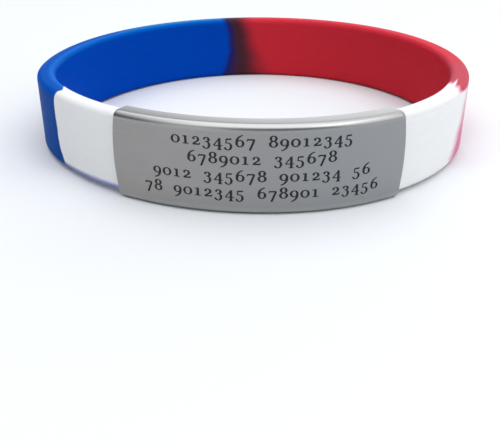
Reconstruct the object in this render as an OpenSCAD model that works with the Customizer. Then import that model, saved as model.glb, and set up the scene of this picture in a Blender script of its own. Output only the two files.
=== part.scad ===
// Medical alert bracelet: a moulded silicone band, and a bent steel plate that is clipped over it.
// The band lies on its lower edge, in the uneven round shape that it takes when nobody wears it.
// Angles are measured at the band's inside, from the plate's middle (0) towards +X.

/* [Band] */
// Length round the inside of the band, the eight inch wrist size
loop_len = 203; // [190:1:225]
// Height of the band
band_w = 12; // [9:0.5:16]
// Thickness of the band's wall
band_t = 3; // [2.4:0.1:3.6]
// Radius of the band's rounded edges
edge_r = 0.8; // [0.5:0.1:0.9]

/* [Lie of the band] */
// Inside radius of the flattest stretch, which runs behind the plate
front_r = 37; // [34:0.5:41]
// Part of a full turn that the flat stretch takes, left of the plate's middle
front_left_turn = 58; // [48:1:68]
// Part of a full turn that the flat stretch takes, right of the plate's middle
front_right_turn = 6; // [3:1:12]
// Part of a full turn that the right side takes
right_turn = 156; // [142:1:172]
// Part of a full turn that the back takes
back_turn = 108; // [90:1:125]
// Part of a full turn that the left side takes
left_turn = 32; // [22:1:45]

/* [Plate] */
// Length of the plate along its outer face, at its top and bottom edges
plate_len = 42.5; // [34:0.5:50]
// How far each end bows out at half height
end_bow = 0.7; // [0.3:0.1:1.2]
// Thickness of the sheet
sheet_t = 0.5; // [0.4:0.05:0.8]
// Inside radius of the two bends at the plate's face
face_bend_r = 0.45; // [0.2:0.05:0.5]
// Inside radius of the two bends at the lips
lip_bend_r = 0.15; // [0.1:0.05:0.3]
// How far each of the two lips reaches behind the band
lip_w = 3.9; // [2:0.1:4.5]
// Radius of the lips' free corners
lip_corner_r = 0.9; // [0.4:0.1:1.5]
// How deep the plate's face presses into the band's outside
face_press = 0.2; // [0.1:0.05:0.4]
// How deep each lip presses into the band's inside
lip_press = 0.75; // [0.2:0.05:0.9]
// Clearance between the band and the plate
clearance = 0.1; // [0.1:0.05:0.2]

/* [Hidden] */

// Smoothness of the long arcs and of the small rounded edges
arc_fn = 180;
edge_fn = 16;
// How far a cutter runs past what it cuts, and what that is along the plate, in degrees
past = 0.4;
past_deg = 1;
// How far the ends' cutters run past the plate, inwards, outwards and beyond its ends
reach = 4;
// How far the arc of a lip's corner dips past the lip's free edge, so that the two cross
dip = 0.02;

// Angles and places are rounded to hundredths, so that neighbouring stretches meet exactly
function coarse(v) = is_list(v) ? [for (x = v) coarse(x)] : round(v * 100) / 100;

// The four stretches of the loop (front, right, back, left), scaled to one full turn
to_degrees = 360 / (front_left_turn + front_right_turn + right_turn + back_turn + left_turn);
front_start = coarse(-front_left_turn * to_degrees);
front_end = coarse(front_right_turn * to_degrees);
right_end = coarse(front_end + right_turn * to_degrees);
back_end = coarse(right_end + back_turn * to_degrees);
stops = [front_start, front_end, right_end, back_end, front_start + 360];

// The loop closes and has its length: three equations for the right, back and left radii.
// A stretch of radius 1 adds the x, y and length that step() gives.
function outward(a) = [sin(a), -cos(a)];
function step(i) = [
    sin(stops[i + 1]) - sin(stops[i]),
    cos(stops[i]) - cos(stops[i + 1]),
    (stops[i + 1] - stops[i]) * PI / 180
];
function det(p, q, r) = cross(p, q) * r;
rest_of_loop = [0, 0, loop_len] - front_r * step(0);
whole = det(step(1), step(2), step(3));
right_r = det(rest_of_loop, step(2), step(3)) / whole;
back_r = det(step(1), rest_of_loop, step(3)) / whole;
left_r = det(step(1), step(2), rest_of_loop) / whole;
radii = [front_r, right_r, back_r, left_r];

// Centres of the four stretches, each in line with the last one's at the stop that they share
right_c = (front_r - right_r) * outward(stops[1]);
back_c = right_c + (right_r - back_r) * outward(stops[2]);
left_c = back_c + (back_r - left_r) * outward(stops[3]);
centres = [[0, 0], right_c, back_c, left_c];

// The plate wraps the pinched band with the clearance all round
sheet_out = clearance + sheet_t;
pinched_t = band_t - face_press - lip_press;
plate_w = band_w + 2 * sheet_out;
plate_d = pinched_t + 2 * sheet_out;
lip_gap = plate_w - 2 * lip_w;

// Ends of the plate: its left one is on the front stretch, its right one on the right side's
face_out = band_t - face_press + sheet_out;
lip_in = lip_press - sheet_out;
half_len = plate_len / 2;
tip_left = coarse(-(half_len + end_bow) / (front_r + face_out) * 180 / PI);
flat_len = (front_r + face_out) * front_end * PI / 180;
tip_right = coarse(front_end + (half_len + end_bow - flat_len) / (right_r + face_out) * 180 / PI);
end_bow_r = (pow(plate_w / 2, 2) + pow(end_bow, 2)) / (2 * end_bow);

// The origin is under the middle of the outer box, on the surface that the bracelet lies on
function side_of(a) = a < stops[1] ? 0 : a < stops[2] ? 1 : a < stops[3] ? 2 : 3;
function wall(a, out) = centres[side_of(a)] + (radii[side_of(a)] + out) * outward(a);
x_mid = (wall(90, band_t)[0] + wall(270, band_t)[0]) / 2;
y_mid = (wall(180, band_t)[1] + wall(0, face_out)[1]) / 2;
half_w = plate_w / 2;

// A rectangle from x = 0 outwards and centred in height, with one radius at its two corners
// on the inside and another at its two corners on the outside
module rounded_wall(thick, high, r_in, r_out) {
    translate([0, r_in - high / 2]) square([thick - r_out, high - 2 * r_in]);
    translate([r_in, r_out - high / 2]) square([thick - r_in, high - 2 * r_out]);
    translate([r_in, -high / 2]) square([thick - r_in - r_out, high]);
    for (y = [-1, 1]) {
        translate([r_in, y * (high / 2 - r_in)]) circle(r = r_in, $fn = edge_fn);
        translate([thick - r_out, y * (high / 2 - r_out)]) circle(r = r_out, $fn = edge_fn);
    }
}

// The children moved in a coarse and a fine step, which keeps the small decimals of the place
module place(v) {
    translate(coarse(v)) translate(v - coarse(v)) children();
}

// The child section, measured from the band's inside, swept round one stretch between two angles
module sweep(side, from, to) {
    place(centres[side])
        rotate_extrude(angle = to - from, start = from - 90, $fn = arc_fn)
            place([radii[side], 0]) children();
}

module band_section() {
    rounded_wall(band_t, band_w, edge_r, edge_r);
}

// A channel that is open at the back, between the two lips
module plate_section() {
    difference() {
        translate([lip_in, 0])
            rounded_wall(plate_d, plate_w, lip_bend_r + sheet_t, face_bend_r + sheet_t);
        translate([lip_press - clearance, 0])
            rounded_wall(pinched_t + 2 * clearance, band_w + 2 * clearance, lip_bend_r, face_bend_r);
        translate([lip_in - past, -lip_gap / 2]) square([sheet_t + 2 * past, lip_gap]);
    }
}

// What the plate presses away: a strip of the band's outside, and one behind each lip
module pinched_section() {
    translate([band_t - face_press, -half_w]) square([face_press + past, plate_w]);
    for (y = [-half_w, lip_gap / 2 - clearance])
        translate([-past, y]) square([lip_press + past, lip_w + clearance]);
}

// The children, drawn with X along the plate and Y outwards, placed at a tip of the plate
module at_tip(side, tip, way) {
    translate(centres[side])
        rotate([0, 0, tip])
            translate([0, -radii[side], 0])
                mirror([way < 0 ? 1 : 0, 0, 0])
                    mirror([0, 1, 0]) children();
}

// All that lies past the bowed line of an end, which is drawn at the origin
module past_end() {
    rotate([-90, 0, 0])
        translate([0, 0, -reach])
            linear_extrude(plate_d + 2 * reach) difference() {
                translate([-2 * end_bow, -half_w - past]) square([2 * end_bow + reach, plate_w + 2 * past]);
                translate([-end_bow_r, 0]) circle(r = end_bow_r, $fn = arc_fn);
            }
}

// The free corners of both lips at an end
module lip_corners() {
    rotate([-90, 0, 0])
        translate([0, 0, lip_in - past])
            linear_extrude(sheet_t + 2 * past)
                for (y = [-1, 1]) scale([1, y]) translate([-lip_corner_r, lip_gap / 2]) lip_corner();
}

module lip_corner() {
    difference() {
        translate([0, -past]) square([lip_corner_r + past, lip_corner_r + past]);
        translate([0, lip_corner_r - dip]) circle(r = lip_corner_r, $fn = edge_fn);
    }
}

// The child section along the plate, longer by more at each end, with the plate's bowed ends
module along_plate(more) {
    difference() {
        union() {
            sweep(0, tip_left - past_deg, front_end) children();
            sweep(1, front_end, tip_right + past_deg) children();
        }
        at_tip(0, tip_left, -1) translate([more, 0, 0]) past_end();
        at_tip(1, tip_right, 1) translate([more, 0, 0]) past_end();
    }
}

module band() {
    color("whitesmoke")
        translate([-x_mid, -y_mid, half_w])
            difference() {
                union() {
                    for (side = [0:3]) sweep(side, stops[side], stops[side + 1]) band_section();
                }
                along_plate(clearance) pinched_section();
            }
}

module plate() {
    color("silver")
        translate([-x_mid, -y_mid, half_w])
            difference() {
                along_plate(0) plate_section();
                at_tip(0, tip_left, -1) lip_corners();
                at_tip(1, tip_right, 1) lip_corners();
            }
}

band();
plate();
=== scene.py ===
"""Looks of the medical alert bracelet: a marbled silicone band with an engraved steel plate clipped over it.

Sizes are in millimetres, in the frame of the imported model, and become metres where the meshes are made.
The studio's sizes are in metres. Angles are measured in plan at the band's inside, from the plate's
middle (0) towards +X.
"""
import logging
import math
from abc import ABC, abstractmethod
from collections.abc import Callable, Sequence
from dataclasses import dataclass, field, replace
from enum import Enum
from typing import Optional, Union

import bmesh
import bpy
import numpy as np
from mathutils import Color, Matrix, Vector
from mathutils.geometry import delaunay_2d_cdt


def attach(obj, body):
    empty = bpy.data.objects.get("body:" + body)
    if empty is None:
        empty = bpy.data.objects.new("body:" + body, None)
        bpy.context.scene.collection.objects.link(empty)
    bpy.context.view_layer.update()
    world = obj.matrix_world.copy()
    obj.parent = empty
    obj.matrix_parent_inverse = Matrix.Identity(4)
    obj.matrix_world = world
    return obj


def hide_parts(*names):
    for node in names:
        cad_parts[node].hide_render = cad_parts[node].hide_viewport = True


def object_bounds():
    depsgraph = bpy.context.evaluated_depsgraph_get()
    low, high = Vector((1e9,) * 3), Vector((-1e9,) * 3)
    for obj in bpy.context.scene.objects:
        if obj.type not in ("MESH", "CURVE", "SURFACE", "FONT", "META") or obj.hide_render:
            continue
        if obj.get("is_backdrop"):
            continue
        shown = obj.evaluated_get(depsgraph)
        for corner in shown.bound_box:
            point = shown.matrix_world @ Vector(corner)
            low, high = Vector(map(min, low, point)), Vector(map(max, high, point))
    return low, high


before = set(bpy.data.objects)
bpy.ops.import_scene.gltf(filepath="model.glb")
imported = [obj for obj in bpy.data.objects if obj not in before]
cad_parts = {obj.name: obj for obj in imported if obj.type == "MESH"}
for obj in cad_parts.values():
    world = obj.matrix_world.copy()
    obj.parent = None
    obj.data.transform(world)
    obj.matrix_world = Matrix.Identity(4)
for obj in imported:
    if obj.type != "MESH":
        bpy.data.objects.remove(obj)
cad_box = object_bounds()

log = logging.getLogger("bracelet")

MM = 0.001
# Numbers that differ by less than this are the same
TINY = 1e-9
# The name under which a mesh holds the lay of its face corners
LAY = "lay"

# A place or direction in a section or a plan, and a place or direction in space or a lay
Flat = tuple[float, float]
Solid = tuple[float, float, float]
Colour = tuple[float, float, float, float]
Outline = list[Flat]
AngleOf = Callable[[float, float], float]


def rgb(code: str) -> Colour:
    """Turns a hex colour, as on a screen, into Blender's linear colour with an alpha of 1."""
    on_screen = Color([int(code[i:i + 2], 16) / 255 for i in (0, 2, 4)])
    return *on_screen.from_srgb_to_scene_linear(), 1.0


def arc_points(middle: Flat, radius: float, first: float, last: float, steps: int) -> Outline:
    """Points on an arc between two angles in degrees, both ends included."""
    angles = [math.radians(first + (last - first) * i / steps) for i in range(steps + 1)]
    return [(middle[0] + radius * math.cos(a), middle[1] + radius * math.sin(a)) for a in angles]


class Wire:
    """One output socket, with arithmetic that adds nodes."""

    def __init__(self, work: "NodeWork", socket: bpy.types.NodeSocket) -> None:
        """Wraps a socket of that node tree."""
        self.work = work
        self.socket = socket

    def __add__(self, other: "Number") -> "Wire":
        """The sum."""
        return self.work.math("ADD", self, other)

    def __radd__(self, other: "Number") -> "Wire":
        """The sum, with this value on the right."""
        return self.work.math("ADD", other, self)

    def __sub__(self, other: "Number") -> "Wire":
        """The difference."""
        return self.work.math("SUBTRACT", self, other)

    def __rsub__(self, other: "Number") -> "Wire":
        """The difference, with this value on the right."""
        return self.work.math("SUBTRACT", other, self)

    def __mul__(self, other: "Number") -> "Wire":
        """The product."""
        return self.work.math("MULTIPLY", self, other)

    def __rmul__(self, other: "Number") -> "Wire":
        """The product, with this value on the right."""
        return self.work.math("MULTIPLY", other, self)

    def __truediv__(self, other: "Number") -> "Wire":
        """The quotient."""
        return self.work.math("DIVIDE", self, other)

    def __rtruediv__(self, other: "Number") -> "Wire":
        """The quotient, with this value on the right."""
        return self.work.math("DIVIDE", other, self)

    def __abs__(self) -> "Wire":
        """The size without its sign."""
        return self.work.math("ABSOLUTE", self)

    def most(self, other: "Number") -> "Wire":
        """The larger of the two values."""
        return self.work.math("MAXIMUM", self, other)

    def centred(self) -> "Wire":
        """A noise of 0 to 1, moved so that it strays evenly to both sides of 0."""
        return self - 0.5

    def ease(self, span: Flat) -> "Wire":
        """Eases from 0 at the span's first value to 1 at its second, which may be the smaller one."""
        return self.work.wire("ShaderNodeMapRange", {"interpolation_type": "SMOOTHSTEP"},
                              {"Value": self, "From Min": span[0], "From Max": span[1]})

    def window(self, rise: Flat, fall: Flat) -> "Wire":
        """Eases from 0 to 1 over the first span and back to 0 over the second."""
        return self.ease(rise) * (1 - self.ease(fall))

    def peak(self, at: float, steep: float) -> "Wire":
        """1 at that value, less by steep for each unit away from it, and never below 0."""
        return (1 - abs(self - at) * steep).most(0.0)

    def blend(self, first: "Paint", second: "Paint", mode: str = "MIX") -> "Wire":
        """Blends two colours, with this value as the second one's share.

        Args:
            first: The colour at a share of 0.
            second: The colour at a share of 1.
            mode: The node's blending mode.

        Returns:
            The blended colour.
        """
        settings = {"data_type": "RGBA", "blend_type": mode, "clamp_factor": True}
        share_in, first_in, second_in, colour_out = 0, 6, 7, 2
        sockets = {share_in: self, first_in: first, second_in: second}
        return self.work.wire("ShaderNodeMix", settings, sockets, colour_out)

    def parts(self) -> list["Wire"]:
        """The three parts of a vector."""
        made = self.work.node("ShaderNodeSeparateXYZ", None, {0: self})
        return [Wire(self.work, socket) for socket in made.outputs]


Number = Union[Wire, float]
Paint = Union[Wire, Colour]


class NodeWork:
    """Adds nodes to the tree of one material or world."""

    def __init__(self, owner: Union[bpy.types.Material, bpy.types.World]) -> None:
        """Starts with an empty tree.

        Args:
            owner: The material or world.
        """
        owner.use_nodes = True
        self.tree = owner.node_tree
        self.tree.nodes.clear()

    def node(self, kind: str, settings: Optional[dict] = None,
             sockets: Optional[dict] = None) -> bpy.types.Node:
        """Adds a node.

        Args:
            kind: The node's type.
            settings: The node's own settings, set first.
            sockets: Values or wires, by the input socket's name or number.

        Returns:
            The node.
        """
        made = self.tree.nodes.new(kind)
        for name, value in (settings or {}).items():
            setattr(made, name, value)
        for key, value in (sockets or {}).items():
            if isinstance(value, Wire):
                self.tree.links.new(value.socket, made.inputs[key])
            else:
                made.inputs[key].default_value = value
        return made

    def wire(self, kind: str, settings: Optional[dict] = None, sockets: Optional[dict] = None,
             output: Union[int, str] = 0) -> Wire:
        """Adds a node as node() does, and gives the output of that name or number."""
        return Wire(self, self.node(kind, settings, sockets).outputs[output])

    def math(self, operation: str, *values: Number) -> Wire:
        """A Math node on one or two values."""
        return self.wire("ShaderNodeMath", {"operation": operation}, dict(enumerate(values)))

    def lay(self) -> Wire:
        """The lay that the mesh holds, as a vector."""
        return self.wire("ShaderNodeAttribute", {"attribute_name": LAY}, output="Vector")

    def bump(self, height: Wire, depth: float) -> Wire:
        """A bent normal, for a height of 0 to 1 that stands for that depth in metres."""
        return self.wire("ShaderNodeBump", None, {"Height": height, "Distance": depth, "Strength": 1.0})


@dataclass(frozen=True)
class Grain:
    """Smooth noise of 0 to 1 over a lay, with that many lumps for each unit of the lay's three parts.

    The start is a place along the third part, so that two grains over one lay differ.
    """

    lumps: Solid
    start: float = 0.0
    detail: float = 2.0
    roughness: float = 0.5

    def over(self, lay: Wire) -> Wire:
        """Adds the noise.

        Args:
            lay: The lay's vector.

        Returns:
            The noise.
        """
        place = lay.work.wire("ShaderNodeVectorMath", {"operation": "MULTIPLY_ADD"},
                              {0: lay, 1: self.lumps, 2: (0.0, 0.0, self.start)})
        return lay.work.wire("ShaderNodeTexNoise", None, {
            "Vector": place, "Scale": 1.0, "Detail": self.detail, "Roughness": self.roughness})


@dataclass(frozen=True)
class Border:
    """A line across the band where one colour ends.

    It lies that far along the loop at half height, and strays from there with the level, which is -1 at the
    band's lower edge and 1 at its upper one, and with a noise that is centred on 0.
    """

    at: float
    slant: float = 0.0
    bow: float = 0.0
    stray: float = 0.0

    def line(self, level: Wire, noise: Wire) -> Wire:
        """The border's place along the loop."""
        return self.at + level * self.slant + level * level * self.bow + noise * self.stray


class Finish(ABC):
    """A material with one Principled shader."""

    name: str

    def build(self) -> bpy.types.Material:
        """Makes the material.

        Returns:
            The material.
        """
        material = bpy.data.materials.new(self.name)
        work = NodeWork(material)
        shader = work.wire("ShaderNodeBsdfPrincipled", None, self.sockets(work))
        work.node("ShaderNodeOutputMaterial", None, {"Surface": shader})
        return material

    @abstractmethod
    def sockets(self, work: NodeWork) -> dict[str, object]:
        """The shader's values and wires, by the socket's name."""


@dataclass(frozen=True)
class BandLay:
    """The band's lay in wires, with the masks and the noises that its colours share."""

    vector: Wire
    along: Wire
    out: Wire
    height: Wire
    level: Wire
    rim: Wire
    painted_rim_light: Wire
    outside: Wire
    lobes: Wire
    jags: Wire


@dataclass(frozen=True)
class Silicone(Finish):
    """Marbled satin silicone: white in front, red on the right, blue on the left, a dark swirl at the back.

    Its lay is the place along the loop from the plate's middle, out from the band's inside, and up from its
    half height. A pair of numbers is where a change starts and where it is complete.
    """

    name: str = "marbled_silicone"
    white: str = "e2e3e3"
    # Painted shade: the white is darker on the top
    rim_white: str = "d9dadb"
    pink: str = "dc8da6"
    streak: str = "c9728f"
    red: str = "c02a36"
    # Painted shade: the red is darker on the outside
    shaded_outer_red: str = "ae2631"
    # Painted light and shade on the top: a lighter red, and a darker pinkish red near the plate
    rim_red: str = "c42e3d"
    rim_pink: str = "b04251"
    plum: str = "44262f"
    ink: str = "1e2160"
    blue: str = "0041aa"
    # Painted shade: the blue is darker on the outside
    shaded_outer_blue: str = "004190"
    # On the top the blue is a little greener, with painted highlights on its crest and far part
    rim_blue: str = "0048a2"
    # Painted highlights on the blue rim: along its crest, and on its far part
    crest_highlight_blue: str = "005fba"
    far_highlight_blue: str = "0078b0"
    faint: str = "ffffff"

    # The rim, where borders step and where the painted light and shade of the top start, and the outside
    half_height: float = 6.0
    rim_up: Flat = (4.6, 5.7)
    painted_rim_light_up: Flat = (4.9, 5.7)
    outside_out: Flat = (2.3, 2.9)

    # White to red, where one white tongue runs into the red on the rim
    red_border: Border = Border(37.6, slant=3.3, stray=2.6)
    rim_step: float = 3.6
    rim_slant: float = 1.08
    tongue_at: float = 1.3
    tongue_steep: float = 3.2
    tongue_long: float = 3.0
    red_past: Flat = (-0.2, 1.1)

    # The pink fringe before the red, which is shorter where the border is crisp
    pink_long: float = 3.6
    crisp_less: float = 2.4
    crisp_out: Flat = (1.6, 0.6)
    pink_past: Flat = (-1.0, 0.1)

    # The streaks on the outside, where the red is thin over the white, and how they fade into the red
    streaks_along: Flat = (50.0, 43.0)
    streaks_jag: float = 5.0
    fade_past: Flat = (1.0, 7.0)
    fade_past_share: float = 0.35
    fade_up: Flat = (-3.5, 2.5)
    fade_up_share: float = 0.3

    # Red to the dark swirl and on to blue, as shares of the way through the swirl, and past its end
    swirl_start: Border = Border(102.5, slant=1.4, stray=1.2)
    swirl_end: Border = Border(106.6, slant=-0.35, bow=1.45, stray=1.0)
    plum_through: Flat = (-0.75, 0.45)
    ink_through: Flat = (0.5, 1.0)
    blue_past: Flat = (-0.6, 0.9)

    # Painted light and shade of the top: a darker pinkish red near the plate, and painted highlights on the
    # blue's crest and far part
    rim_pink_along: Flat = (58.0, 42.0)
    crest_highlight_at: float = 0.7
    crest_highlight_steep: float = 1.4
    far_highlight_out: Flat = (0.9, 1.4)
    far_highlight_along: Flat = (136.0, 116.0)

    # Blue to white, and a painted blue reflection on the white at the outside's lower edge
    white_border: Border = Border(169.5, stray=1.2)
    white_rim_step: float = 0.3
    white_rim_back: float = 2.0
    rim_inside_out: Flat = (1.7, 0.3)
    white_foot_up: Flat = (-2.0, -5.5)
    white_foot_step: float = 1.2
    white_past: Flat = (-0.15, 0.15)
    blue_reflection_up: Flat = (-4.7, -5.4)
    blue_reflection_out: Flat = (1.6, 2.4)
    blue_reflection_share: float = 0.7

    # Noises: lobes and jags of the borders, faint streaks of the mixed colours, and the mould's satin skin
    lobes: Grain = Grain((0.12, 0.5, 0.35), detail=1.0)
    jags: Grain = Grain((0.2, 1.5, 1.3), detail=3.0, roughness=0.6)
    streaks: Grain = Grain((0.3, 1.2, 1.4), detail=3.0)
    streaks_share: float = 0.35
    skin: Grain = Grain((9.0, 9.0, 9.0))
    skin_rough: float = 0.12
    skin_deep: float = 0.000012

    roughness: float = 0.42
    ior: float = 1.41
    specular: float = 0.015
    scatter: float = 0.12
    scatter_radius: Solid = (1.0, 0.6, 0.5)
    scatter_scale: float = 0.0012

    def sockets(self, work: NodeWork) -> dict[str, object]:
        """Works out the shader's values.

        Args:
            work: The material's node tree.

        Returns:
            Values and wires, by the socket's name.
        """
        lay = self.read(work)
        skin = self.skin.over(lay.vector)
        return {
            "Base Color": self.colour(lay),
            "Roughness": self.roughness + skin.centred() * self.skin_rough,
            "IOR": self.ior,
            "Specular IOR Level": self.specular,
            "Subsurface Weight": self.scatter,
            "Subsurface Radius": self.scatter_radius,
            "Subsurface Scale": self.scatter_scale,
            "Normal": work.bump(skin, self.skin_deep),
        }

    def read(self, work: NodeWork) -> BandLay:
        """Reads the mesh's lay and makes what several colours share.

        Args:
            work: The material's node tree.

        Returns:
            The lay, the masks and the noises.
        """
        vector = work.lay()
        along, out, height = vector.parts()
        rim = height.ease(self.rim_up)
        return BandLay(
            vector=vector, along=along, out=out, height=height, level=height / self.half_height,
            rim=rim, painted_rim_light=height.ease(self.painted_rim_light_up), outside=out.ease(self.outside_out) * (1 - rim),
            lobes=self.lobes.over(vector).centred(), jags=self.jags.over(vector).centred())

    def colour(self, lay: BandLay) -> Wire:
        """Lays the colours over each other, in their order along the loop.

        Args:
            lay: The band's lay.

        Returns:
            The colour of the band.
        """
        # Painted shade: the white is darker on the top
        white = lay.painted_rim_light.blend(rgb(self.white), rgb(self.rim_white))
        thin, pink, red = self.red_shares(lay)
        through, past = self.swirl(lay)
        marbled = pink.blend(white, thin.blend(rgb(self.pink), rgb(self.streak)))
        marbled = red.blend(marbled, self.red_tone(lay, through))
        marbled = past.ease(self.blue_past).blend(marbled, self.blue_tone(lay))
        # Painted blue reflection on the white at the outside's lower edge
        under = lay.height.ease(self.blue_reflection_up) * lay.out.ease(self.blue_reflection_out) * self.blue_reflection_share
        marbled = self.white_share(lay).blend(marbled, under.blend(white, rgb(self.blue)))
        streaks = self.streaks.over(lay.vector).centred() * self.streaks_share
        return streaks.blend(marbled, rgb(self.faint), "OVERLAY")

    def red_shares(self, lay: BandLay) -> tuple[Wire, Wire, Wire]:
        """Turns white into pink and red.

        Args:
            lay: The band's lay.

        Returns:
            The shares of thin streaks, of pink and of red.
        """
        tongue = lay.out.peak(self.tongue_at, self.tongue_steep) * self.tongue_long
        border = self.red_border.line(lay.level, lay.jags)
        past = lay.along - (border + lay.rim * (tongue - lay.out * self.rim_slant - self.rim_step))
        thin = lay.outside * (lay.along + lay.jags * self.streaks_jag).ease(self.streaks_along)
        fading = (past.ease(self.fade_past) * self.fade_past_share
                  + lay.height.ease(self.fade_up) * self.fade_up_share)
        crisp = lay.rim.most(lay.out.ease(self.crisp_out))
        fringe = (past / (self.pink_long - crisp * self.crisp_less)).ease(self.pink_past)
        return thin, fringe * (1 - thin * fading), past.ease(self.red_past) * (1 - thin)

    def swirl(self, lay: BandLay) -> tuple[Wire, Wire]:
        """Places the dark swirl between red and blue.

        Args:
            lay: The band's lay.

        Returns:
            The share of the way through the swirl, and how far past its end a place is.
        """
        start = self.swirl_start.line(lay.level, lay.lobes)
        end = self.swirl_end.line(lay.level, lay.lobes)
        return (lay.along - start) / (end - start), lay.along - end

    def red_tone(self, lay: BandLay, through: Wire) -> Wire:
        """Darkens red through plum to ink in the swirl.

        Args:
            lay: The band's lay.
            through: The share of the way through the swirl.

        Returns:
            The colour.
        """
        # Painted light and shade on the top: a lighter red, and a darker pinkish red near the plate
        rim = lay.along.ease(self.rim_pink_along).blend(rgb(self.rim_red), rgb(self.rim_pink))
        # Painted shade: the red is darker on the outside
        red = lay.outside.blend(lay.painted_rim_light.blend(rgb(self.red), rim), rgb(self.shaded_outer_red))
        plum = through.ease(self.plum_through).blend(red, rgb(self.plum))
        return through.ease(self.ink_through).blend(plum, rgb(self.ink))

    def blue_tone(self, lay: BandLay) -> Wire:
        """Mixes the blues of the inside, the rim and the outside, with painted highlights on the rim and painted
        shade on the outside.

        Args:
            lay: The band's lay.

        Returns:
            The colour.
        """
        # Painted highlights: a lighter blue along the rim's crest, and a cyan blue on its far part
        crest = lay.out.peak(self.crest_highlight_at, self.crest_highlight_steep)
        rim = crest.blend(rgb(self.rim_blue), rgb(self.crest_highlight_blue))
        far = lay.out.ease(self.far_highlight_out) * lay.along.ease(self.far_highlight_along)
        rim = far.blend(rim, rgb(self.far_highlight_blue))
        # Painted shade: the blue is darker on the outside
        return lay.outside.blend(lay.painted_rim_light.blend(rgb(self.blue), rim), rgb(self.shaded_outer_blue))

    def white_share(self, lay: BandLay) -> Wire:
        """Ends the blue, a little earlier inside on the rim and later at the foot.

        Args:
            lay: The band's lay.

        Returns:
            The share of white.
        """
        on_rim = self.white_rim_step - lay.out.ease(self.rim_inside_out) * self.white_rim_back
        at_foot = lay.height.ease(self.white_foot_up) * self.white_foot_step
        border = self.white_border.line(lay.level, lay.lobes) + lay.rim * on_rim + at_foot
        return (lay.along - border).ease(self.white_past)


@dataclass(frozen=True)
class BrushedSteel(Finish):
    """Stainless steel, brushed along the plate, cooler to the right, rougher on its face than on its bends and
    darker there as painted shade.

    Its lay is the place along the plate and across the unbent sheet, both from the face's middle. A pair of
    numbers is where a change starts and where it is complete.
    """

    name: str = "brushed_steel"
    # The face's two tones are darker than the bend's as painted shade; between them lies the brushing's grain
    bend: str = "a7a7a6"
    light: str = "9f9d9b"
    dark: str = "979492"
    cool: str = "95989b"
    bend_across: Flat = (5.3, 6.2)
    cool_along: Flat = (-20.0, 20.0)
    cool_share: float = 0.8
    broad: Grain = Grain((0.09, 7.0, 0.0))
    fine: Grain = Grain((0.5, 30.0, 0.0), start=7.0, roughness=0.6)
    cloud: Grain = Grain((0.25, 0.3, 0.0), start=3.0)
    broad_tone: float = 0.35
    fine_tone: float = 0.4
    cloud_tone: float = 0.25
    light_tones: Flat = (0.3, 0.7)
    roughness: float = 0.29
    dull: float = 0.16
    fine_rough: float = 0.12
    cloud_rough: float = 0.06
    fine_high: float = 0.7
    broad_high: float = 0.3
    deep: float = 0.0000025

    def sockets(self, work: NodeWork) -> dict[str, object]:
        """Works out the shader's values.

        Args:
            work: The material's node tree.

        Returns:
            Values and wires, by the socket's name.
        """
        lay = work.lay()
        along, across, _ = lay.parts()
        broad, fine, cloud = self.broad.over(lay), self.fine.over(lay), self.cloud.over(lay)
        tone = broad * self.broad_tone + fine * self.fine_tone + cloud * self.cloud_tone
        face = 1 - abs(across).ease(self.bend_across)
        brushed = tone.ease(self.light_tones).blend(rgb(self.dark), rgb(self.light))
        brushed = (along.ease(self.cool_along) * self.cool_share).blend(brushed, rgb(self.cool))
        uneven = fine.centred() * self.fine_rough + cloud.centred() * self.cloud_rough
        return {
            # Painted shade: the face is darker than the bends
            "Base Color": face.blend(rgb(self.bend), brushed),
            "Metallic": 1.0,
            "Roughness": self.roughness + face * self.dull + uneven,
            "Normal": work.bump(fine * self.fine_high + broad * self.broad_high, self.deep),
        }


@dataclass(frozen=True)
class EngravedSteel(Finish):
    """The burnt floor and walls of the engraving."""

    name: str = "engraved_steel"
    light: str = "2c2e31"
    dark: str = "101214"
    burnt: Grain = Grain((12.0, 12.0, 0.0))
    metallic: float = 0.2
    roughness: float = 0.55
    uneven: float = 0.2

    def sockets(self, work: NodeWork) -> dict[str, object]:
        """Works out the shader's values.

        Args:
            work: The material's node tree.

        Returns:
            Values and wires, by the socket's name.
        """
        burnt = self.burnt.over(work.lay())
        return {
            "Base Color": burnt.blend(rgb(self.dark), rgb(self.light)),
            "Metallic": self.metallic,
            "Roughness": self.roughness + burnt * self.uneven,
        }


@dataclass(frozen=True)
class PaleTable(Finish):
    """A matt, nearly white table top."""

    name: str = "pale_table"
    colour: str = "d9dcdf"
    roughness: float = 0.9
    specular: float = 0.2

    def sockets(self, work: NodeWork) -> dict[str, object]:
        """Gives the shader's values.

        Args:
            work: The material's node tree.

        Returns:
            Values, by the socket's name.
        """
        return {
            "Base Color": rgb(self.colour),
            "Roughness": self.roughness,
            "Specular IOR Level": self.specular,
        }


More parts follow.
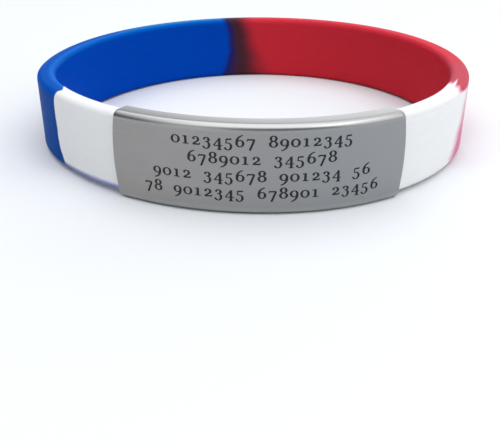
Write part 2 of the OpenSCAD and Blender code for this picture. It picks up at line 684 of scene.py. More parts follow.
@dataclass
class Shell:
    """Collects the faces of one mesh, with the lay of each face corner."""

    name: str
    points: list[Solid] = field(default_factory=list)
    faces: list[tuple[int, ...]] = field(default_factory=list)
    lays: list[tuple[Solid, ...]] = field(default_factory=list)
    slots: list[int] = field(default_factory=list)

    def point(self, place: Solid) -> int:
        """Adds a point in millimetres and gives its number."""
        self.points.append(place)
        return len(self.points) - 1

    def face(self, corners: Sequence[int], lays: Sequence[Solid], slot: int = 0) -> None:
        """Adds a face.

        Args:
            corners: The points' numbers, counter-clockwise from outside.
            lays: The lay of each corner.
            slot: The number of the face's material.
        """
        self.faces.append(tuple(corners))
        self.lays.append(tuple(lays))
        self.slots.append(slot)

    def build(self, materials: Sequence[bpy.types.Material], weld: float = 0.0,
              sharp: float = 32.0) -> bpy.types.Object:
        """Makes the object.

        Args:
            materials: The materials, by slot number.
            weld: Points closer than this many millimetres are joined.
            sharp: Edges that turn by more than this many degrees stay sharp.

        Returns:
            The object, linked to the scene.
        """
        mesh = bpy.data.meshes.new(self.name)
        mesh.from_pydata([tuple(c * MM for c in p) for p in self.points], [], self.faces)
        for material in materials:
            mesh.materials.append(material)
        mesh.polygons.foreach_set("material_index", self.slots)
        lay = mesh.attributes.new(LAY, "FLOAT_VECTOR", "CORNER")
        lay.data.foreach_set("vector", [c for corners in self.lays for corner in corners for c in corner])
        if weld:
            work = bmesh.new()
            work.from_mesh(mesh)
            bmesh.ops.remove_doubles(work, verts=work.verts, dist=weld * MM)
            work.to_mesh(mesh)
            work.free()
        mesh.shade_smooth()
        mesh.set_sharp_from_angle(angle=math.radians(sharp))
        mesh.validate()
        made = bpy.data.objects.new(self.name, mesh)
        bpy.context.scene.collection.objects.link(made)
        return made


@dataclass
class Loop:
    """The band's inside in plan: four arcs that meet smoothly, close, and have the loop's length."""

    length: float = 203.0
    front_radius: float = 37.0
    front_left_turn: float = 58.0
    front_right_turn: float = 6.0
    right_turn: float = 156.0
    back_turn: float = 108.0
    left_turn: float = 32.0
    stops: list[float] = field(init=False)
    radii: list[float] = field(init=False)
    centres: list[np.ndarray] = field(init=False)

    def __post_init__(self) -> None:
        """Solves the radii of the right, back and left arcs."""
        front_turn = self.front_left_turn + self.front_right_turn
        turns = [front_turn, self.right_turn, self.back_turn, self.left_turn]
        whole = sum(turns)
        self.stops = [-self.front_left_turn * math.tau / whole]
        for turn in turns:
            self.stops.append(self.stops[-1] + turn * math.tau / whole)
        steps = [np.array([math.sin(b) - math.sin(a), math.cos(a) - math.cos(b), b - a])
                 for a, b in zip(self.stops, self.stops[1:])]
        rest = np.array([0.0, 0.0, self.length]) - self.front_radius * steps[0]
        self.radii = [self.front_radius, *np.linalg.solve(np.stack(steps[1:], 1), rest)]
        self.centres = [np.zeros(2)]
        for stop, radius, following in zip(self.stops[1:], self.radii, self.radii[1:]):
            self.centres.append(self.centres[-1] + (radius - following) * self.outward(stop))

    @staticmethod
    def outward(angle: float) -> np.ndarray:
        """The direction away from the loop's middle, in plan."""
        return np.array([math.sin(angle), -math.cos(angle)])

    def stretch(self, angle: float) -> tuple[int, float, int]:
        """Finds the arc that an angle is on.

        Args:
            angle: Any angle, in radians.

        Returns:
            The arc's number, the angle within the loop's own turn, and how many whole turns were taken off.
        """
        laps = math.floor((angle - self.stops[0]) / math.tau)
        own = angle - laps * math.tau
        number = sum(own >= stop for stop in self.stops[1:-1])
        return number, own, laps

    def radius(self, angle: float, out: float) -> float:
        """The radius of the arc at that angle, that far out from the inside."""
        return self.radii[self.stretch(angle)[0]] + out

    def at(self, angle: float, out: float) -> np.ndarray:
        """The plan place at that angle, that far out from the inside."""
        number, own, _ = self.stretch(angle)
        return self.centres[number] + (self.radii[number] + out) * self.outward(own)

    def along(self, angle: float, out: float = 0.0) -> float:
        """Measures along the loop from the plate's middle.

        Args:
            angle: The angle to which it is measured.
            out: How far out from the inside it is measured.

        Returns:
            The length, which grows by the inside's length with each whole turn.
        """
        number, own, laps = self.stretch(angle)
        length = (self.radii[0] + out) * self.stops[0]
        for radius, start, stop in zip(self.radii[:number], self.stops, self.stops[1:]):
            length += (radius + out) * (stop - start)
        return length + (self.radii[number] + out) * (own - self.stops[number]) + laps * self.length


class End(Enum):
    """An end of the plate, with the way in which angles grow towards it."""

    LEFT = -1
    RIGHT = 1


@dataclass
class Fit:
    """The sizes that the band and the plate share, and where the plate lies on the loop."""

    loop: Loop
    band_high: float = 12.0
    band_thick: float = 3.0
    band_edge: float = 0.8
    plate_long: float = 42.5
    end_bow: float = 0.7
    sheet: float = 0.5
    face_bend: float = 0.45
    lip_bend: float = 0.15
    lip: float = 3.9
    lip_corner: float = 0.9
    corner_dip: float = 0.02
    face_press: float = 0.2
    lip_press: float = 0.75
    clearance: float = 0.1
    sheet_out: float = field(init=False)
    half_high: float = field(init=False)
    face_out: float = field(init=False)
    lip_in: float = field(init=False)
    lip_gap: float = field(init=False)
    bow_radius: float = field(init=False)
    tips: dict[End, float] = field(init=False)
    middle: np.ndarray = field(init=False)

    def __post_init__(self) -> None:
        """Works out the plate's outside, its two tips, and the middle of the whole in plan."""
        self.sheet_out = self.clearance + self.sheet
        self.half_high = self.band_high / 2 + self.sheet_out
        self.face_out = self.band_thick - self.face_press + self.sheet_out
        self.lip_in = self.lip_press - self.sheet_out
        self.lip_gap = 2 * (self.half_high - self.lip)
        self.bow_radius = (self.half_high ** 2 + self.end_bow ** 2) / (2 * self.end_bow)
        half_long = self.plate_long / 2 + self.end_bow
        self.tips = {end: self.face_angle(end.value * half_long) for end in End}
        quarter = math.tau / 4
        right, left = self.loop.at(quarter, self.band_thick), self.loop.at(3 * quarter, self.band_thick)
        back, front = self.loop.at(2 * quarter, self.band_thick), self.loop.at(0.0, self.face_out)
        self.middle = np.array([(right[0] + left[0]) / 2, (back[1] + front[1]) / 2])

    def face_angle(self, along: float) -> float:
        """Finds the angle at a length along the plate's face.

        Args:
            along: The length from the plate's middle.

        Returns:
            The angle, in radians.
        """
        turn = self.loop.stops[1]
        front_radius = self.loop.radius(0.0, self.face_out)
        front_long = front_radius * turn
        if along < front_long:
            return along / front_radius
        return turn + (along - front_long) / self.loop.radius(turn, self.face_out)

    def place(self, angle: float, out: float, height: float) -> Solid:
        """The place at that angle, that far out from the band's inside and above its half height."""
        plan = self.loop.at(angle, out) - self.middle
        return plan[0], plan[1], height + self.half_high

    def end_angle(self, end: End, out: float, height: float, beyond: float,
                  corner: bool = False) -> float:
        """Finds the angle of the plate's bowed end line.

        Args:
            end: Which end.
            out: How far out from the band's inside.
            height: Above the band's half height.
            beyond: How far past the plate's own end.
            corner: Whether the lips' rounded corners count.

        Returns:
            The angle, in radians.
        """
        bow = math.sqrt(self.bow_radius ** 2 - height ** 2) - self.bow_radius
        below = self.lip_gap / 2 + self.lip_corner - self.corner_dip - abs(height)
        if corner and below > 0:
            bow = min(bow, math.sqrt(max(self.lip_corner ** 2 - below ** 2, 0.0)) - self.lip_corner)
        tip = self.tips[end]
        return tip + end.value * math.asin((bow + beyond) / self.loop.radius(tip, out))


class Piece(ABC):
    """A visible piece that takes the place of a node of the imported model."""

    node: str
    slot: str

    @abstractmethod
    def build(self) -> bpy.types.Object:
        """Makes the piece's object, with its finish."""

    def dress(self, piece: bpy.types.Object) -> None:
        """Puts the built piece in its node's place.

        Args:
            piece: The piece's object.
        """
        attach(piece, "root")
        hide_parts(self.node)


@dataclass
class SiliconeBand(Piece):
    """The moulded silicone band, pressed in under the plate's face and lips.

    Past each end of the plate its rows of points turn from the plate's bowed end line to a straight line,
    over the degrees of the fade. The press comes on over a soft strip beside each lip, and the places
    beside the lip are shares of that strip.
    """

    fit: Fit
    finish: Silicone = Silicone()
    node: str = "band"
    slot: str = "silicone"
    degrees_each: float = 1.0
    fade: float = 4.0
    fade_shares: tuple[float, ...] = (0.0, 0.08, 0.2, 0.4, 0.6, 0.8)
    edge_steps: int = 6
    soft: float = 0.12
    soft_power: int = 3
    gap_heights: tuple[float, ...] = (0.0, 0.8, 1.6, 2.3)
    beside_lip: tuple[float, ...] = (-1.0, -1 / 3, 0.0, 0.25)
    lip_heights: tuple[float, ...] = (3.7, 4.4)
    outside_heights: tuple[float, ...] = (4.4, 3.5, 2.6, 1.7, 0.8)

    def lip_edge(self) -> float:
        """The height at which the upper lip starts to press."""
        return self.fit.lip_gap / 2 - self.fit.clearance

    def section(self) -> Outline:
        """Draws the band's section.

        Returns:
            Places outwards and upwards, once round from the middle of the inside and up.
        """
        high, thick, edge = self.fit.band_high / 2, self.fit.band_thick, self.fit.band_edge
        beside_lip = [self.lip_edge() + share * self.soft for share in self.beside_lip]
        upper = [(0.0, height) for height in (*self.gap_heights, *beside_lip, *self.lip_heights)]
        upper += arc_points((edge, high - edge), edge, 180, 90, self.edge_steps)
        upper += [(thick / 2, high)]
        upper += arc_points((thick - edge, high - edge), edge, 90, 0, self.edge_steps)
        upper += [(thick, height) for height in self.outside_heights]
        return upper + [(out, -height) for out, height in reversed(upper[1:])]

    def pressed(self, out: float, height: float) -> float:
        """Presses a point of the section in.

        Args:
            out: How far out it is without the plate.
            height: Above the band's half height.

        Returns:
            How far out it is under the plate.
        """
        share = min(max((abs(height) - self.lip_edge()) / self.soft + 1, 0.0), 1.0)
        depth = share ** self.soft_power * self.fit.lip_press
        return min(max(out, depth), self.fit.band_thick - self.fit.face_press)

    def end_line(self, end: End, beyond: float, lap: float = 0.0) -> AngleOf:
        """The line that far past a bowed end of the plate, as an angle for each place out and height."""
        return lambda out, height: self.fit.end_angle(end, out, height, beyond) + lap

    @staticmethod
    def straight(angle: float) -> AngleOf:
        """The straight line across the section at that angle, for each place out and height."""
        return lambda _out, _height: angle

    def row(self, first: AngleOf, last: AngleOf, share: float, press: bool = False) -> list[Solid]:
        """Lays the section between two lines.

        Args:
            first: The line at a share of 0.
            last: The line at a share of 1.
            share: The share of the way from the first line to the last.
            press: Whether the plate presses there.

        Returns:
            The angle, place out and height of each point.
        """
        made = []
        for out, height in self.section():
            out = self.pressed(out, height) if press else out
            made.append(((1 - share) * first(out, height) + share * last(out, height), out, height))
        return made

    def rows(self) -> list[list[Solid]]:
        """Lays the section round the loop, from the plate's left end.

        Returns:
            The rows of points: under the plate, past its right end, round the back, and up to its left end.
        """
        tips, clearance = self.fit.tips, self.fit.clearance
        fade = math.radians(self.fade)
        left, right = self.end_line(End.LEFT, clearance), self.end_line(End.RIGHT, clearance)
        free_right = self.end_line(End.RIGHT, clearance + self.soft)
        free_left = self.end_line(End.LEFT, clearance + self.soft, math.tau)
        start, stop = tips[End.RIGHT] + fade, tips[End.LEFT] + math.tau - fade
        back_start, back_stop = self.straight(start), self.straight(stop)
        under = round(math.degrees(tips[End.RIGHT] - tips[End.LEFT]) / self.degrees_each)
        back = round(math.degrees(stop - start) / self.degrees_each)
        made = [self.row(left, right, i / under, True) for i in range(under + 1)]
        made += [self.row(free_right, back_start, share) for share in self.fade_shares]
        made += [self.row(back_start, back_stop, i / back) for i in range(back + 1)]
        return made + [self.row(free_left, back_stop, share) for share in reversed(self.fade_shares)]

    def build(self) -> bpy.types.Object:
        """Makes the band.

        Returns:
            The band's object.
        """
        loop, rows = self.fit.loop, self.rows()
        shell = Shell("silicone_band")
        numbers = [[shell.point(self.fit.place(*point)) for point in row] for row in rows]
        around = len(rows[0])
        for i in range(len(rows)):
            j = (i + 1) % len(rows)
            lap = 0.0 if j else loop.length
            for k in range(around):
                m = (k + 1) % around
                corners = ((i, k, 0.0), (j, k, lap), (j, m, lap), (i, m, 0.0))
                lays = [(loop.along(rows[r][c][0]) + ahead, *rows[r][c][1:]) for r, c, ahead in corners]
                shell.face([numbers[r][c] for r, c, _ in corners], lays)
        return shell.build([self.finish.build()])


@dataclass(frozen=True)
class Pen:
    """The engraver's pen, in shares of the height of a small figure."""

    thick: float = 0.25
    thin: float = 0.125
    steps: int = 14
    drop_radius: float = 0.1
    drop_corners: int = 12

    def ring(self, x: float, y: float, wide: float, high: float,
             first: float = 0.0, last: float = 360.0) -> list[Outline]:
        """Draws part of an upright oval, thick at its sides and thin above and below.

        Args:
            x: The middle, across.
            y: The middle, upwards.
            wide: Half the width of the pen's path.
            high: Half the height of the pen's path.
            first: The angle where it starts, in degrees.
            last: The angle where it ends.

        Returns:
            Outlines of half an oval or less, which together cover the stroke.
        """
        pieces = max(1, math.ceil((last - first) / 180))
        outlines = []
        for piece in range(pieces):
            start = first + (last - first) * piece / pieces
            stop = first + (last - first) * (piece + 1) / pieces
            outer, inner = [], []
            for i in range(self.steps + 1):
                angle = math.radians(start + (stop - start) * i / self.steps)
                half = (self.thin + (self.thick - self.thin) * math.cos(angle) ** 2) / 2
                outer.append((x + (wide + half) * math.cos(angle), y + (high + half) * math.sin(angle)))
                inner.append((x + (wide - half) * math.cos(angle), y + (high - half) * math.sin(angle)))
            outlines.append(outer + inner[::-1])
        return outlines

    def bar(self, x0: float, y0: float, x1: float, y1: float, width: float) -> list[Outline]:
        """Draws a straight stroke.

        Args:
            x0: The start, across.
            y0: The start, upwards.
            x1: The end, across.
            y1: The end, upwards.
            width: The width of the stroke.

        Returns:
            The stroke's outline, in a list.
        """
        length = math.hypot(x1 - x0, y1 - y0)
        side_x, side_y = (y1 - y0) / length * width / 2, -(x1 - x0) / length * width / 2
        return [[(x0 + side_x, y0 + side_y), (x1 + side_x, y1 + side_y),
                 (x1 - side_x, y1 - side_y), (x0 - side_x, y0 - side_y)]]

    def drop(self, x: float, y: float) -> list[Outline]:
        """Draws the round end of a stroke."""
        steps = self.drop_corners - 1
        return [arc_points((x, y), self.drop_radius, 0, 360 * steps / self.drop_corners, steps)]

    def figures(self) -> dict[str, list[Outline]]:
        """Draws the ten old-style figures, one unit high, some with a tail below the line or a head above.

        Returns:
            For each digit, outlines that together cover it.
        """
        ring, bar, drop = self.ring, self.bar, self.drop
        thick, thin, foot = self.thick, self.thin, self.thick * 0.75
        serif, slope, leg = self.thin * 0.9, self.thin * 1.4, self.thick * 0.85
        return {
            "0": ring(0.46, 0.5, 0.35, 0.46),
            "1": (bar(0.44, 0.02, 0.44, 1.0, thick) + bar(0.14, 0.04, 0.74, 0.04, serif)
                  + bar(0.16, 0.9, 0.42, 0.97, serif)),
            "2": (ring(0.4, 0.67, 0.25, 0.29, -45, 165) + bar(0.6, 0.5, 0.12, 0.08, slope)
                  + bar(0.08, 0.07, 0.78, 0.07, foot) + drop(0.2, 0.72) + bar(0.76, 0.06, 0.8, 0.26, serif)),
            "3": (ring(0.4, 0.72, 0.23, 0.25, -85, 160) + ring(0.37, 0.05, 0.3, 0.43, -155, 88)
                  + bar(0.28, 0.48, 0.44, 0.48, serif) + drop(0.2, 0.78) + drop(0.12, -0.16)),
            "4": (bar(0.6, -0.4, 0.6, 1.0, thick) + bar(0.6, 0.97, 0.06, 0.1, thin)
                  + bar(0.02, 0.08, 0.88, 0.08, thin) + bar(0.38, -0.4, 0.82, -0.4, serif)),
            "5": (bar(0.2, 0.9, 0.72, 0.93, foot) + bar(0.22, 0.95, 0.18, 0.4, thin)
                  + ring(0.36, 0.02, 0.31, 0.43, -155, 115) + drop(0.11, -0.18)),
            "6": ring(0.46, 0.43, 0.31, 0.39) + ring(0.84, 0.58, 0.69, 0.84, 97, 184),
            "7": (bar(0.1, 0.92, 0.8, 0.92, foot) + bar(0.76, 0.9, 0.34, -0.4, leg)
                  + bar(0.12, 0.94, 0.09, 0.72, serif)),
            "8": ring(0.46, 1.07, 0.26, 0.31) + ring(0.46, 0.39, 0.32, 0.35),
            "9": ring(0.44, 0.57, 0.31, 0.39) + ring(0.06, 0.42, 0.69, 0.84, -83, 4),
        }


@dataclass(frozen=True)
class Rib:
    """A line through the sheet: its outer and inner point, and the way out of the sheet.

    Its place across is measured over the unbent sheet's outside, from the face's middle.
    """

    outer: Flat
    inner: Flat
    way: Flat
    across: float = 0.0

    def mirrored(self) -> "Rib":
        """The same line below the band's half height."""
        return Rib(*((out, -height) for out, height in (self.outer, self.inner, self.way)))

    def looks(self, out: float) -> bool:
        """Whether the way out of the sheet is straight outwards, for 1, or inwards, for -1."""
        return abs(self.way[0] - out) < TINY


@dataclass
class Skins:
    """The points of the bent sheet's two skins and their lays, by row along the plate and by rib."""

    shell: Shell
    outer: list[list[int]] = field(default_factory=list)
    inner: list[list[int]] = field(default_factory=list)
    lays: list[list[Solid]] = field(default_factory=list)

    def face(self, corners: Sequence[tuple[list[list[int]], int, int]], flip: bool = False) -> None:
        """Adds a face.

        Args:
            corners: The skin, row and rib of each corner, counter-clockwise from outside.
            flip: Whether they run clockwise instead.
        """
        ordered = corners[::-1] if flip else corners
        self.shell.face([skin[i][k] for skin, i, k in ordered], [self.lays[i][k] for _, i, k in ordered])


@dataclass
class IdPlate(Piece):
    """The bent steel plate: a channel with bowed ends and two lips, and rows of plain figures cut into it.

    The rows of figures are measured along the flat face from its middle. The sheet's cut edges are softened.
    """

    fit: Fit
    steel: BrushedSteel = BrushedSteel()
    engraved: EngravedSteel = EngravedSteel()
    pen: Pen = Pen()
    node: str = "plate"
    slot: str = "steel"
    figures: tuple[str, ...] = (
        "01234567 89012345", "6789012 345678", "9012 345678 901234 56", "78 9012345 678901 23456")
    first_line: float = 3.5
    line_step: float = 2.52
    text_shift: float = 0.3
    figure_high: float = 1.16
    figure_wide: float = 1.22
    pitch: float = 1.49
    cut_deep: float = 0.1
    grid: float = 0.8
    same_point: float = 0.00001
    row_steps: int = 76
    bend_steps: int = 8
    soft_end: float = 0.06
    soft_end_middle: float = 0.018
    soft_lip: float = 0.05
    lip_rises: tuple[float, ...] = (0.12, 0.25, 0.45, 0.7, 0.95, 1.4, 2.0)
    face_heights: tuple[float, ...] = (4.8, 4.0, 3.0, 2.0, 1.0, 0.0)
    weld: float = 0.002

    def section(self) -> list[Rib]:
        """Draws the channel's section.

        Returns:
            The ribs from the upper lip's free edge round to the lower one's.
        """
        fit, sheet, half, soft = self.fit, self.fit.sheet, self.fit.half_high, self.soft_lip
        lip_bend, face_bend = fit.lip_bend + sheet, fit.face_bend + sheet
        edge, inwards = fit.lip_gap / 2, (-1.0, 0.0)
        at_lip = (fit.lip_in + lip_bend, half - lip_bend)
        at_face = (fit.face_out - face_bend, half - face_bend)

        def rib(outer: Flat, way: Flat) -> Rib:
            """A rib straight through the sheet."""
            return Rib(outer, (outer[0] - way[0] * sheet, outer[1] - way[1] * sheet), way)

        upper = [Rib((fit.lip_in + soft, edge), (fit.lip_in + sheet - soft, edge), inwards)]
        upper += [rib((fit.lip_in, edge + rise), inwards) for rise in (soft, *self.lip_rises)]
        upper += [rib((at_lip[0] + lip_bend * x, at_lip[1] + lip_bend * y), (x, y))
                  for x, y in arc_points((0.0, 0.0), 1.0, 180, 90, self.bend_steps)]
        upper += [rib(((at_lip[0] + at_face[0]) / 2, half), (0.0, 1.0))]
        upper += [rib((at_face[0] + face_bend * x, at_face[1] + face_bend * y), (x, y))
                  for x, y in arc_points((0.0, 0.0), 1.0, 90, 0, self.bend_steps)]
        upper += [rib((fit.face_out, height), (1.0, 0.0)) for height in self.face_heights]
        ribs = upper + [rib.mirrored() for rib in reversed(upper[:-1])]
        walked = [0.0]
        for a, b in zip(ribs, ribs[1:]):
            walked.append(walked[-1] + math.dist(a.outer, b.outer))
        middle = walked[len(upper) - 1]
        return [replace(rib, across=middle - length) for rib, length in zip(ribs, walked)]

    def rows(self) -> list[tuple[float, float, float]]:
        """Lists the rows of ribs along the plate.

        Returns:
            For each row its share of the way from the left end to the right one, how far the ends are drawn
            back, and how far the sheet is thinned on both sides for its softened edge.
        """
        end = ((0.0, self.soft_end), (self.soft_end_middle, self.soft_end_middle), (self.soft_end, 0.0))
        rows = [(0.0, back, thinned) for back, thinned in end]
        rows += [(i / self.row_steps, self.soft_end, 0.0) for i in range(1, self.row_steps)]
        return rows + [(1.0, back, thinned) for back, thinned in reversed(end)]

    def angle_of(self, out: float, height: float, share: float, back: float, corner: bool) -> float:
        """Finds an angle along the plate.

        Args:
            out: How far out from the band's inside.
            height: Above the band's half height.
            share: 0 at the left end, 1 at the right end.
            back: How far the ends are drawn back.
            corner: Whether the lips' rounded corners count.

        Returns:
            The angle, in radians.
        """
        left, right = (self.fit.end_angle(end, out, height, -back, corner) for end in End)
        return left + (right - left) * share

    def skins(self, shell: Shell, section: list[Rib]) -> Skins:
        """Makes the points of the sheet's two skins.

        Args:
            shell: The plate's mesh.
            section: The ribs of a row.

        Returns:
            The points' numbers and lays.
        """
        fit, made = self.fit, Skins(shell)
        for share, back, thinned in self.rows():
            points = []
            for rib in section:
                for skin, drawn in ((rib.outer, -thinned), (rib.inner, thinned)):
                    out, height = skin[0] + drawn * rib.way[0], skin[1] + drawn * rib.way[1]
                    angle = self.angle_of(out, height, share, back, rib.looks(-1))
                    lay = (fit.loop.along(angle, fit.face_out), rib.across, 0.0)
                    points.append((shell.point(fit.place(angle, out, height)), lay))
            made.outer.append([number for number, _ in points[::2]])
            made.inner.append([number for number, _ in points[1::2]])
            made.lays.append([lay for _, lay in points[::2]])
        return made

    def build(self) -> bpy.types.Object:
        """Makes the plate.

        Returns:
            The plate's object.
        """
        section = self.section()
        shell = Shell("id_plate")
        skins = self.skins(shell, section)
        outer, inner = skins.outer, skins.inner
        last_row, last_rib = len(outer) - 1, len(section) - 1

        # The engraved face takes the outer skin's place between the softened ends
        end_rows = sum(share == 0.0 for share, _, _ in self.rows()) - 1
        left, right = end_rows, last_row - end_rows
        face = [k for k, rib in enumerate(section) if rib.looks(1)]
        top, bottom = face[0], face[-1]

        for i in range(last_row):
            for k in range(last_rib):
                if not (left <= i < right and top <= k < bottom):
                    skins.face([(outer, i, k), (outer, i, k + 1), (outer, i + 1, k + 1), (outer, i + 1, k)])
                skins.face([(inner, i, k), (inner, i + 1, k), (inner, i + 1, k + 1), (inner, i, k + 1)])
            for k in (0, last_rib):
                skins.face([(outer, i, k), (outer, i + 1, k), (inner, i + 1, k), (inner, i, k)], k > 0)
        for i in (0, last_row):
            for k in range(last_rib):
                skins.face([(outer, i, k), (outer, i, k + 1), (inner, i, k + 1), (inner, i, k)], i == 0)

        border = [(i, bottom) for i in range(left, right + 1)]
        border += [(right, k) for k in range(bottom - 1, top - 1, -1)]
        border += [(i, top) for i in range(right - 1, left - 1, -1)]
        border += [(left, k) for k in range(top + 1, bottom)]
        self.engrave(shell, [(skins.lays[i][k][0], section[k].outer[1]) for i, k in border])
        made = shell.build([self.steel.build(), self.engraved.build()], weld=self.weld)
        self.true_normals(made.data)
        return made

    def outlines(self) -> list[Outline]:
        """Lays out the rows of figures on the flat face.

        Returns:
            Outlines that run counter-clockwise and together cover the figures.
        """
        drawn = self.pen.figures()
        made = []
        for number, text in enumerate(self.figures):
            line = self.first_line - number * self.line_step
            start = self.text_shift - len(text) * self.pitch / 2 + (self.pitch - self.figure_high) / 2
            for place, digit in enumerate(text):
                for outline in drawn.get(digit, []):
                    flat = [(start + place * self.pitch + x * self.figure_high * self.figure_wide,
                             line + y * self.figure_high) for x, y in outline]
                    area = sum(a[0] * b[1] - b[0] * a[1] for a, b in zip(flat, flat[1:] + flat[:1]))
                    made.append(flat if area > 0 else flat[::-1])
        return made

    def engrave(self, shell: Shell, border: Outline) -> None:
        """Adds the face, with the figures cut into it.

        Args:
            shell: The plate's mesh.
            border: The face's outline, laid flat.
        """
        fit = self.fit
        points = [Vector(p) for p in border]
        half_long, half_high = fit.plate_long / 2, fit.half_high - fit.face_bend - fit.sheet
        columns, lines = int(2 * half_long / self.grid), int(2 * half_high / self.grid)
        for i in range(1, columns):
            for j in range(1, lines):
                points.append(Vector(((i / columns * 2 - 1) * half_long, (j / lines * 2 - 1) * half_high)))
        cuts = []
        for outline in self.outlines():
            cuts.append(list(range(len(points), len(points) + len(outline))))
            points += [Vector(p) for p in outline]
        whole_hull, name_owners = 0, True
        flat, _, triangles, _, _, owners = delaunay_2d_cdt(
            points, [], cuts, whole_hull, self.same_point, name_owners)
        tops: dict[int, int] = {}
        floors: dict[int, int] = {}

        def number(store: dict[int, int], vertex: int, out: float) -> int:
            """Adds a flat point to the mesh on its first use.

            Args:
                store: The numbers so far, by flat point.
                vertex: The flat point.
                out: How far out from the band's inside it lies.

            Returns:
                The point's number in the mesh.
            """
            if vertex not in store:
                store[vertex] = shell.point(fit.place(fit.face_angle(flat[vertex].x), out, flat[vertex].y))
            return store[vertex]

        edges: dict[tuple[int, int], bool] = {}
        for triangle, owner in zip(triangles, owners):
            cut = bool(owner)
            store, out = (floors, fit.face_out - self.cut_deep) if cut else (tops, fit.face_out)
            corners = [number(store, v, out) for v in triangle]
            lays = [(flat[v].x, flat[v].y, 0.0 if cut else 1.0) for v in triangle]
            shell.face(corners, lays, int(cut))
            for a, b in zip(triangle, [*triangle[1:], triangle[0]]):
                edges[(a, b)] = cut
        for (a, b), cut in edges.items():
            if cut and edges.get((b, a)) is False:
                lays = [(flat[v].x, flat[v].y, 0.0) for v in (b, a, a, b)]
                shell.face((floors[b], floors[a], tops[a], tops[b]), lays, 1)

    def true_normals(self, mesh: bpy.types.Mesh) -> None:
        """Gives the face the normals of its two arcs, so that the cuts don't show in its shading.

        Args:
            mesh: The plate's mesh, whose lay ends in 1 on the face and in 0 elsewhere.
        """
        lay = mesh.attributes[LAY].data
        normals = []
        for loop in mesh.loops:
            along, _, on_face = lay[loop.index].vector
            way = Loop.outward(self.fit.face_angle(along)) if round(on_face) else (0.0, 0.0)
            normals.append((*way, 0.0))
        mesh.normals_split_custom_set(normals)


@dataclass(frozen=True)
class Softbox:
    """A square soft light."""

    name: str
    place: Solid
    size: float
    power: float

    def build(self, target: Vector) -> None:
        """Adds the light.

        Args:
            target: The place that it points at.
        """
        lamp = bpy.data.lights.new(self.name, "AREA")
        lamp.shape = "SQUARE"
        lamp.size = self.size
        lamp.energy = self.power
        made = bpy.data.objects.new(self.name, lamp)
        made.location = self.place
        made.rotation_euler = (target - made.location).to_track_quat("-Z", "Y").to_euler()
        bpy.context.scene.collection.objects.link(made)


@dataclass(frozen=True)
class Sky:
    """A dim sky, bright overhead and fairly bright low behind the bracelet, which the camera sees as even.

    A direction has parts to the right, back and up. A pair of numbers is where a change starts and where it
    is complete.
    """

    name: str = "soft_sky"
    tint: str = "fbfcff"
    overhead: float = 2.2
    behind: float = 1.55
    ambient: float = 0.11
    backdrop: float = 0.9

    # The bright part overhead: across a tilted line, upwards, backwards, and weaker at the back on the right
    aside_right: float = 0.94
    aside_down: float = 0.34
    aside_rise: Flat = (-1.15, -0.5)
    aside_fall: Flat = (0.2, 0.5)
    up_rise: Flat = (0.35, 0.7)
    back_rise: Flat = (-0.95, -0.5)
    back_fall: Flat = (0.5, 0.85)
    corner: Flat = (0.25, 0.75)
    corner_loss: float = 0.4

    # The bright part low behind, which lies to the back and somewhat to the right
    rear_right: float = 0.5
    rear_back: float = 0.866
    rear_rise: Flat = (0.45, 0.95)
    rear_fall: Flat = (0.5, 0.85)

    def build(self) -> None:
        """Makes the sky."""
        world = bpy.data.worlds.new(self.name)
        bpy.context.scene.world = world
        work = NodeWork(world)
        right, back, up = work.wire("ShaderNodeTexCoord", output="Generated").parts()
        aside = right * self.aside_right - up * self.aside_down
        top = (aside.window(self.aside_rise, self.aside_fall) * up.ease(self.up_rise)
               * back.window(self.back_rise, self.back_fall)
               * (1 - (back + right).ease(self.corner) * self.corner_loss))
        rear = ((1 - top) * (1 - up.ease(self.rear_fall))
                * (right * self.rear_right + back * self.rear_back).ease(self.rear_rise))
        lighting = top * self.overhead + rear * self.behind + self.ambient
        seen = work.wire("ShaderNodeLightPath", output="Is Camera Ray")
        level = lighting + seen * (self.backdrop - lighting)
        glow = work.wire("ShaderNodeBackground", None, {"Color": rgb(self.tint), "Strength": level})
        work.node("ShaderNodeOutputWorld", None, {"Surface": glow})


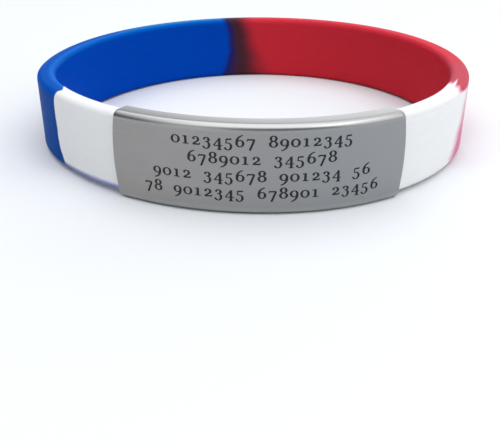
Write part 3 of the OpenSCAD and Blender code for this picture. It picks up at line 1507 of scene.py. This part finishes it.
@dataclass
class Studio:
    """A pale table, soft lights, a sky and the camera, in metres.

    The table touches the plate's corners in front and the band at its back, where it is a little higher.
    """

    eye: Solid = (0.002045, -0.125266, 0.046403)
    sight: Solid = (-0.019386, 0.886575, -0.462179)
    focal: float = 52.627
    sensor: float = 36.0
    nearest: float = 0.005
    table_finish: PaleTable = PaleTable()
    table: float = 30.0
    table_touch: Flat = (-0.0262, 0.034)
    table_lift: float = 0.0006
    lit: Solid = (0.0, 0.0, 0.006)
    boxes: tuple[Softbox, ...] = (
        Softbox("key_light", (0.5, -0.23, 0.35), 0.6, 1.7),
        Softbox("front_light", (-0.35, -0.6, 0.12), 0.4, 0.45),
    )
    sky: Sky = Sky()

    def build(self) -> None:
        """Sets up the table, the lights, the sky and the camera."""
        self.build_table()
        for box in self.boxes:
            box.build(Vector(self.lit))
        self.sky.build()
        self.build_camera()

    def build_table(self) -> None:
        """Adds the table top, which leans towards the front."""
        half = self.table / 2
        front, back = self.table_touch
        slope = self.table_lift / (back - front)
        corners = [(x, y, (y - front) * slope)
                   for x, y in ((-half, -half), (half, -half), (half, half), (-half, half))]
        mesh = bpy.data.meshes.new("table_top")
        mesh.from_pydata(corners, [], [(0, 1, 2, 3)])
        mesh.materials.append(self.table_finish.build())
        made = bpy.data.objects.new("table_top", mesh)
        bpy.context.scene.collection.objects.link(made)
        made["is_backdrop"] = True

    def build_camera(self) -> None:
        """Adds the camera, level with the horizon."""
        lens = bpy.data.cameras.new("camera")
        lens.lens = self.focal
        lens.sensor_width = self.sensor
        lens.clip_start = self.nearest
        made = bpy.data.objects.new("camera", lens)
        made.location = self.eye
        made.rotation_euler = Vector(self.sight).to_track_quat("-Z", "Y").to_euler()
        bpy.context.scene.collection.objects.link(made)
        bpy.context.scene.camera = made
        bpy.context.scene.view_settings.view_transform = "Standard"


def main() -> None:
    """Builds the studio, the band and the plate."""
    logging.basicConfig(level=logging.INFO, format="%(name)s: %(message)s")
    Studio().build()
    fit = Fit(Loop())
    for piece in (SiliconeBand(fit), IdPlate(fit)):
        made = piece.build()
        piece.dress(made)
        points, faces = len(made.data.vertices), len(made.data.polygons)
        log.info("%s: %d points, %d faces, replaces %s", made.name, points, faces, piece.node)
    bpy.context.view_layer.update()
    sizes = {"cad": [list(corner) for corner in cad_box], "visual": [list(corner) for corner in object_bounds()]}
    log.info("cad box %s, visual box %s", sizes["cad"], sizes["visual"])


if __name__ == "__main__":
    main()
